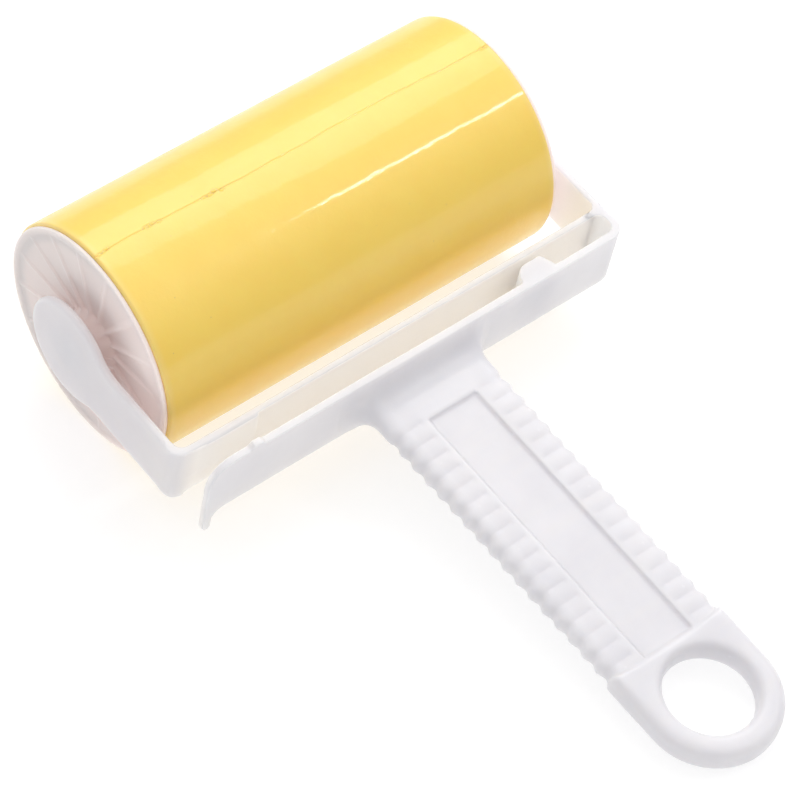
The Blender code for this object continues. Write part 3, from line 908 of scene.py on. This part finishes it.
def sticky_gel():
    """Tacky yellow gel: glossy, slightly see-through, cloudy, with its seam and caught dust."""
    mat, tree, shader = new_material("sticky_gel", IOR=1.47, Subsurface_Weight=0.22,
                                     Subsurface_Scale=0.0012, Coat_Weight=0.45,
                                     Coat_Roughness=0.07)
    shader.inputs["Subsurface Radius"].default_value = (1.0, 0.55, 0.12)
    where = millimetres(tree)
    apart = add_node(tree, "ShaderNodeSeparateXYZ", {0: where})
    x, y, z = apart.outputs
    clouds = remap(tree, grain(tree, where, 11.0, 4.0, 0.6), 0.35, 0.65, 0.0, 1.0)
    colour = mix_colours(tree, clouds, GEL_DEEP, GEL_PALE)
    from_end = maths(tree, "SUBTRACT", SLEEVE_L / 2, maths(tree, "ABSOLUTE", x))
    thin = remap(tree, from_end, 0.2, 2.2, 0.4, 0.0)
    colour = mix_colours(tree, thin, colour, GEL_EDGE)
    seam_near = seam_mask(tree, x, y, z)
    colour = mix_colours(tree, seam_near, colour, SEAM_COLOUR)
    dust = add_node(tree, "ShaderNodeTexVoronoi", {"Vector": where, "Scale": 0.16})
    dots = remap(tree, dust.outputs["Distance"], 0.018, 0.034, 0.5, 0.0)
    colour = mix_colours(tree, dots, colour, DUST_COLOUR)
    tree.links.new(colour, shader.inputs["Base Color"])
    smears = grain(tree, where, 9.0, 5.0, 0.65)
    tree.links.new(remap(tree, smears, 0.35, 0.7, 0.36, 0.46), shader.inputs["Roughness"])
    ripple = bump(tree, grain(tree, where, 2.6, 2.0), 0.00012, 0.30)
    tree.links.new(bump(tree, grain(tree, where, 0.6, 2.0), 0.00004, 0.6, ripple),
                   shader.inputs["Normal"])
    return mat


def seam_mask(tree, x, y, z):
    """1 in a thin line where the surface dips at the seam, found from its radius."""
    radius = axis_distance(tree, y, z)
    dip = remap(tree, radius, SLEEVE_R - 0.17, SLEEVE_R - 0.26, 0.0, 0.35)
    inside = maths(tree, "LESS_THAN", maths(tree, "ABSOLUTE", x), SLEEVE_L / 2 - 1.0)
    above = maths(tree, "GREATER_THAN", z, SLEEVE_R * 0.9)
    return maths(tree, "MULTIPLY", dip, maths(tree, "MULTIPLY", inside, above))


def core_plastic():
    """Extruded off-white tube: fine lines along its length and a dull surface."""
    mat, tree, shader = new_material("core_plastic", IOR=1.47)
    where = millimetres(tree)
    along = add_node(tree, "ShaderNodeMapping", {"Vector": where, "Scale": (0.03, 1.6, 1.6)})
    lines = grain(tree, along.outputs[0], 1.0, 5.0, 0.6)
    clouds = grain(tree, where, 9.0)
    colour = mix_colours(tree, clouds, (0.76, 0.75, 0.74), (0.83, 0.82, 0.81))
    colour = mix_colours(tree, remap(tree, lines, 0.45, 0.7, 0.0, 0.4), colour, (0.70, 0.69, 0.67))
    tree.links.new(colour, shader.inputs["Base Color"])
    tree.links.new(remap(tree, lines, 0.3, 0.7, 0.42, 0.58), shader.inputs["Roughness"])
    tree.links.new(bump(tree, lines, 0.00005, 0.5), shader.inputs["Normal"])
    return mat


def floor_paper():
    """Plain pale studio paper with a faint tooth."""
    mat, tree, shader = new_material("floor_paper", Roughness=0.85, Specular_IOR_Level=0.1,
                                     Emission_Strength=FLOOR_GLOW)
    shader.inputs["Emission Color"].default_value = (1, 1, 1, 1)
    where = millimetres(tree)
    tooth = grain(tree, where, 1.4, 4.0)
    colour = mix_colours(tree, tooth, (0.41, 0.41, 0.41), (0.44, 0.44, 0.44))
    tree.links.new(colour, shader.inputs["Base Color"])
    tree.links.new(bump(tree, tooth, 0.00005, 0.2), shader.inputs["Normal"])
    return mat


# ---- pieces -------------------------------------------------------------------------
def build_pieces():
    white = moulded_plastic("frame_plastic", *FRAME_WHITES, 0.36, True)
    cap_white = moulded_plastic("cap_plastic", *CAP_WHITES, 0.42, False)
    yoke = fuse([front_wall(), arm(1, WALL_FRONT + WALL_TURN_R - 0.4), pivot(1),
                 bar_root(), handle_grip(), hang_ring()])
    add_unevenness(yoke, (26.0, 0.10), (6.0, 0.02))
    place("yoke_moulding", yoke, "yoke", "frame_plastic", white,
          "front_wall", "right_arm", "right_pivot", "handle_grip", "hang_ring")
    flex = fuse([spring_bar(), spring_bar_pad(), arm(-1, CORNER_END_Y - 0.4), pivot(-1)])
    add_unevenness(flex, (22.0, 0.10), (6.0, 0.02))
    place("flex_moulding", flex, "leaf", "frame_plastic", white,
          "spring_bar", "left_arm", "left_pivot")
    place("gel_sleeve", gel_sleeve(), "drum", "sticky_gel", sticky_gel(), "sticky_sleeve")
    for side, node in ((-1, "left_end_cap"), (1, "right_end_cap")):
        cap = place("ribbed_" + node, end_cap(side), "drum", "cap_plastic", cap_white, node)
        cap.data.set_sharp_from_angle(angle=radians(50))
    core = frame["nodes"]["core_tube"]
    core.data.materials.clear()
    core.data.materials.append(core_plastic())


# ---- studio -------------------------------------------------------------------------
def build_floor():
    size = 4.0
    bm = bmesh.new()
    bmesh.ops.create_grid(bm, x_segments=8, y_segments=8, size=size / 2)
    mesh = bpy.data.meshes.new("studio_floor")
    bm.to_mesh(mesh)
    bm.free()
    mesh.materials.append(floor_paper())
    floor = bpy.data.objects.new("studio_floor", mesh)
    bpy.context.scene.collection.objects.link(floor)


def aim(azimuth, elevation, distance, target):
    """A place seen from the target at this azimuth and elevation, facing the target."""
    az, el = radians(azimuth), radians(elevation)
    away = Vector((sin(az) * cos(el), -cos(az) * cos(el), sin(el)))
    turn = away.to_track_quat("Z", "Y").to_matrix().to_4x4()
    return Matrix.Translation(target + away * distance) @ turn


def strip_place():
    """The strip light's place: its long side runs from STRIP_START along STRIP_RUN."""
    along = Vector(STRIP_RUN).normalized()
    middle = Vector(STRIP_START) + along * STRIP_LENGTH / 2
    away = middle - DRUM_CENTRE
    away = (away - along * away.dot(along)).normalized()
    turn = Matrix((along, away.cross(along), away)).transposed().to_4x4()
    return Matrix.Translation(middle) @ turn


def add_softbox(name, where, size, radiance):
    """A rectangular light; its power follows from how bright its face looks."""
    light = bpy.data.lights.new(name, "AREA")
    light.shape = "RECTANGLE"
    light.size, light.size_y = size
    light.energy = radiance * pi * size[0] * size[1]
    lamp = bpy.data.objects.new(name, light)
    bpy.context.scene.collection.objects.link(lamp)
    lamp.matrix_world = where


def build_lights():
    add_softbox("key_softbox", aim(*KEY_FROM, DRUM_CENTRE), KEY_SIZE, KEY_RADIANCE)
    add_softbox("strip_light", strip_place(), (STRIP_LENGTH, STRIP_WIDTH), STRIP_RADIANCE)


def build_world():
    """Pale surround, a little dimmer low down in front."""
    world = bpy.data.worlds.new("studio")
    bpy.context.scene.world = world
    world.use_nodes = True
    tree = world.node_tree
    direction = tree.nodes.new("ShaderNodeTexCoord").outputs["Generated"]
    apart = add_node(tree, "ShaderNodeSeparateXYZ", {0: direction})
    across = maths(tree, "MULTIPLY", apart.outputs[0], 0.45)
    behind = remap(tree, maths(tree, "ADD", apart.outputs[1], across), -0.6, 0.8, 0.0, 0.32)
    height = remap(tree, apart.outputs[2], 0.1, 0.9, 0.0, 1.0)
    light = maths(tree, "MAXIMUM", behind, height)
    colour = mix_colours(tree, light, SKY_LOW, SKY_HIGH)
    background = tree.nodes["Background"]
    tree.links.new(colour, background.inputs["Color"])
    background.inputs["Strength"].default_value = SKY_STRENGTH


def build_camera():
    data = bpy.data.cameras.new("camera")
    data.lens = CAMERA_LENS
    data.sensor_width = 36
    data.clip_start = 0.05
    data.clip_end = 20
    camera = bpy.data.objects.new("camera", data)
    bpy.context.scene.collection.objects.link(camera)
    camera.location = CAMERA_AT
    camera.rotation_euler = Euler([radians(turn) for turn in CAMERA_TURN])
    bpy.context.scene.camera = camera
    bpy.context.scene.view_settings.view_transform = "Standard"


build_pieces()
build_floor()
build_lights()
build_world()
build_camera()
